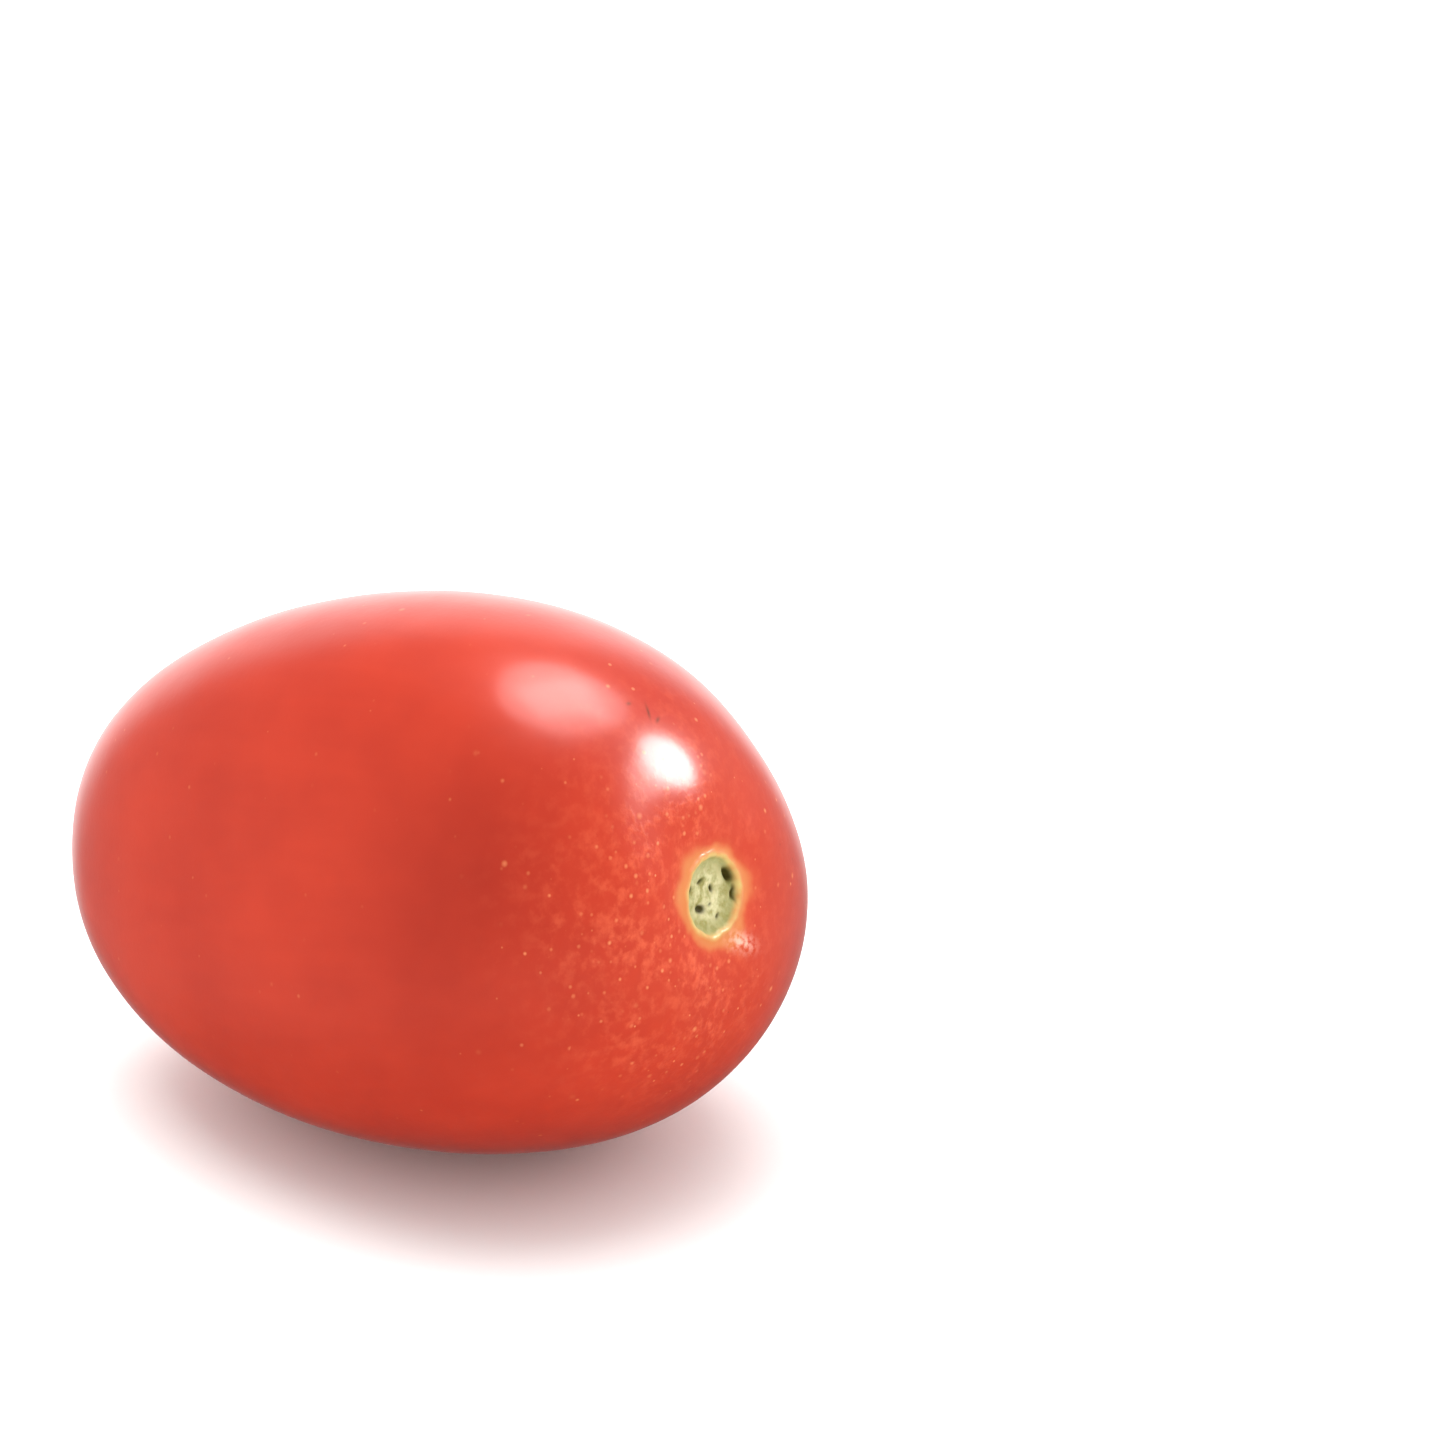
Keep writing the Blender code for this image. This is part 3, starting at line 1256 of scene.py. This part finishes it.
@dataclass(frozen=True)
class Floor:
    """The large level floor. It glows faintly, as if lit through the fruit."""

    half: float = 3.0
    drop: float = 0.02 * MM
    colour: Colour = (0.91, 0.94, 0.935, 1.0)
    roughness: float = 0.9
    specular: float = 0.1
    glow_colour: Colour = (1.0, 0.82, 0.75, 1.0)
    glow: float = 0.05

    def build(self) -> None:
        """Makes the floor."""
        half, low = self.half, -self.drop
        corners = [(-half, -half, low), (half, -half, low), (half, half, low), (-half, half, low)]
        mesh = bpy.data.meshes.new("floor")
        mesh.from_pydata(corners, [], [(0, 1, 2, 3)])
        material = bpy.data.materials.new("pale_floor")
        material.use_nodes = True
        sockets = material.node_tree.nodes["Principled BSDF"].inputs
        sockets["Base Color"].default_value = self.colour
        sockets["Roughness"].default_value = self.roughness
        sockets["Specular IOR Level"].default_value = self.specular
        sockets["Emission Color"].default_value = self.glow_colour
        sockets["Emission Strength"].default_value = self.glow
        mesh.materials.append(material)
        floor = bpy.data.objects.new("floor", mesh)
        bpy.context.scene.collection.objects.link(floor)
        floor.visible_glossy = False


@dataclass(frozen=True)
class Dome:
    """A dome that only gloss shows: dim all round, bright behind the fruit, dark underneath.

    spread holds the angles from its brightest point, in degrees, at which the brightness
    starts and is full, and under the heights at which the dark part ends.
    """

    radius: float = 2.5
    fineness: int = 4
    sides: float = 0.5
    back: float = 2.05
    azimuth: float = 227.0
    elevation: float = 8.0
    spread: tuple[float, float] = (44.0, 24.0)
    under: Band = Band(-0.75, -0.2)
    under_share: float = 0.2

    def glow_material(self) -> bpy.types.Material:
        """Makes the dome's glow.

        Returns:
            The material.
        """
        material = bpy.data.materials.new("dome_glow")
        material.use_nodes = True
        tree = material.node_tree
        tree.nodes.remove(tree.nodes["Principled BSDF"])
        bench = Bench(tree)
        place = bench.flow("ShaderNodeTexCoord", None, None, "Object")
        direction = bench.flow("ShaderNodeVectorMath", {"operation": "NORMALIZE"}, {0: place})
        facing = bench.facing(direction, toward(self.azimuth, self.elevation))
        outer, inner = (math.cos(math.radians(angle)) for angle in self.spread)
        glow = facing.ramp(outer, inner) * (self.back - self.sides) + self.sides
        height = direction.parts()[2]
        glow = glow * (self.under.share(height) * (1.0 - self.under_share) + self.under_share)
        emission = bench.flow("ShaderNodeEmission", None, {"Strength": glow})
        feed(tree, tree.nodes["Material Output"].inputs["Surface"], emission)
        material.cycles.emission_sampling = "NONE"
        return material

    def build(self) -> None:
        """Makes the dome."""
        shell = bmesh.new()
        bmesh.ops.create_icosphere(shell, subdivisions=self.fineness, radius=self.radius)
        mesh = bpy.data.meshes.new("dome")
        shell.to_mesh(mesh)
        shell.free()
        mesh.materials.append(self.glow_material())
        dome = bpy.data.objects.new("dome", mesh)
        dome.visible_camera = dome.visible_diffuse = dome.visible_shadow = False
        dome.visible_transmission = dome.visible_volume_scatter = False
        bpy.context.scene.collection.objects.link(dome)


@dataclass(frozen=True)
class Surround:
    """White surroundings that light the scene, dimmer on the side that the fruit is seen from."""

    brightness: float = 1.36
    dim_share: float = 0.6
    azimuth: float = 40.0
    elevation: float = 15.0
    edge: Band = Band(0.98, 0.4)
    colour: Colour = (1.0, 1.0, 1.0, 1.0)

    def build(self) -> None:
        """Makes the surroundings, which the camera sees as plain white and gloss doesn't show."""
        world = bpy.data.worlds.new("white_surround")
        world.use_nodes = True
        bench = Bench(world.node_tree)
        direction = bench.flow("ShaderNodeTexCoord", None, None, "Generated")
        facing = bench.facing(direction, toward(self.azimuth, self.elevation))
        lit = self.edge.share(facing) * (1.0 - self.dim_share) + self.dim_share
        seen = bench.flow("ShaderNodeLightPath", None, None, "Is Camera Ray")
        background = world.node_tree.nodes["Background"]
        background.inputs["Color"].default_value = self.colour
        strength = (lit * self.brightness).most(seen)
        feed(world.node_tree, background.inputs["Strength"], strength)
        bpy.context.scene.world = world
        world.cycles_visibility.glossy = False


@dataclass(frozen=True)
class Viewpoint:
    """Where the camera stands, and how far right of the fruit's middle and above it it looks."""

    lens: float = 100.0
    azimuth: float = 38.0
    elevation: float = 20.0
    distance: float = 0.3572
    look_right: float = 0.0260
    look_up: float = 0.0109
    clip_start: float = 0.01

    def build(self, middle: Vector) -> None:
        """Makes the camera.

        Args:
            middle: The fruit's middle.
        """
        back = toward(self.azimuth, self.elevation)
        right = toward(self.azimuth + QUARTER_TURN, 0.0)
        aim = middle + right * self.look_right + back.cross(right) * self.look_up
        data = bpy.data.cameras.new("camera")
        data.lens = self.lens
        data.clip_start = self.clip_start
        camera = bpy.data.objects.new("camera", data)
        camera.location = aim + back * self.distance
        camera.rotation_euler = back.to_track_quat("Z", "Y").to_euler()
        bpy.context.scene.collection.objects.link(camera)
        bpy.context.scene.camera = camera


@dataclass(frozen=True)
class Studio:
    """The floor, the surroundings, the soft lights and the camera."""

    floor: Floor = Floor()
    surround: Surround = Surround()
    dome: Dome = Dome()
    viewpoint: Viewpoint = Viewpoint()
    panels: tuple[Panel, ...] = (
        Panel("overhead", 240.0, 82.0, 1.2, 1.3, 1.3, 2.7, PanelShape.SQUARE, Use.MATTE),
        Panel("spot_glint", 138.0, 29.0, 1.0, 0.46, 0.46, 40.0, PanelShape.ROUND, Use.GLOSS),
        Panel("spot_glow", 120.0, 32.0, 1.0, 0.36, 0.36, 9.0, PanelShape.ROUND, Use.GLOSS),
        Panel("window_glint", 163.0, 74.0, 1.0, 0.34, 0.62, 10.0, PanelShape.SQUARE, Use.GLOSS),
        Panel("window_glow", 168.0, 75.0, 0.98, 0.7, 1.06, 8.0, PanelShape.ROUND, Use.GLOSS),
    )

    def build(self, middle: Vector) -> None:
        """Sets the whole studio up.

        Args:
            middle: The fruit's middle.
        """
        self.floor.build()
        self.surround.build()
        self.dome.build()
        for panel in self.panels:
            panel.build(middle)
        self.viewpoint.build(middle)
        bpy.context.scene.view_settings.view_transform = "Standard"


def main() -> None:
    """Builds the studio and the fruit."""
    logging.basicConfig(level=logging.INFO)
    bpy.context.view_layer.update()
    low, high = (Vector(corner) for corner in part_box(NODE))
    middle = (low + high) / 2.0
    base = (middle.x, middle.y, low.z)
    Studio().build(middle)
    scar = StemScar()
    skin = SkinMaterial(scar, SkinLooks()).build()
    fruit = Fruit(scar, base, skin).build()
    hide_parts(NODE)
    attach(fruit, BODY)
    LOG.info("%s: %d faces", fruit.name, len(fruit.data.polygons))


if __name__ == "__main__":
    main()
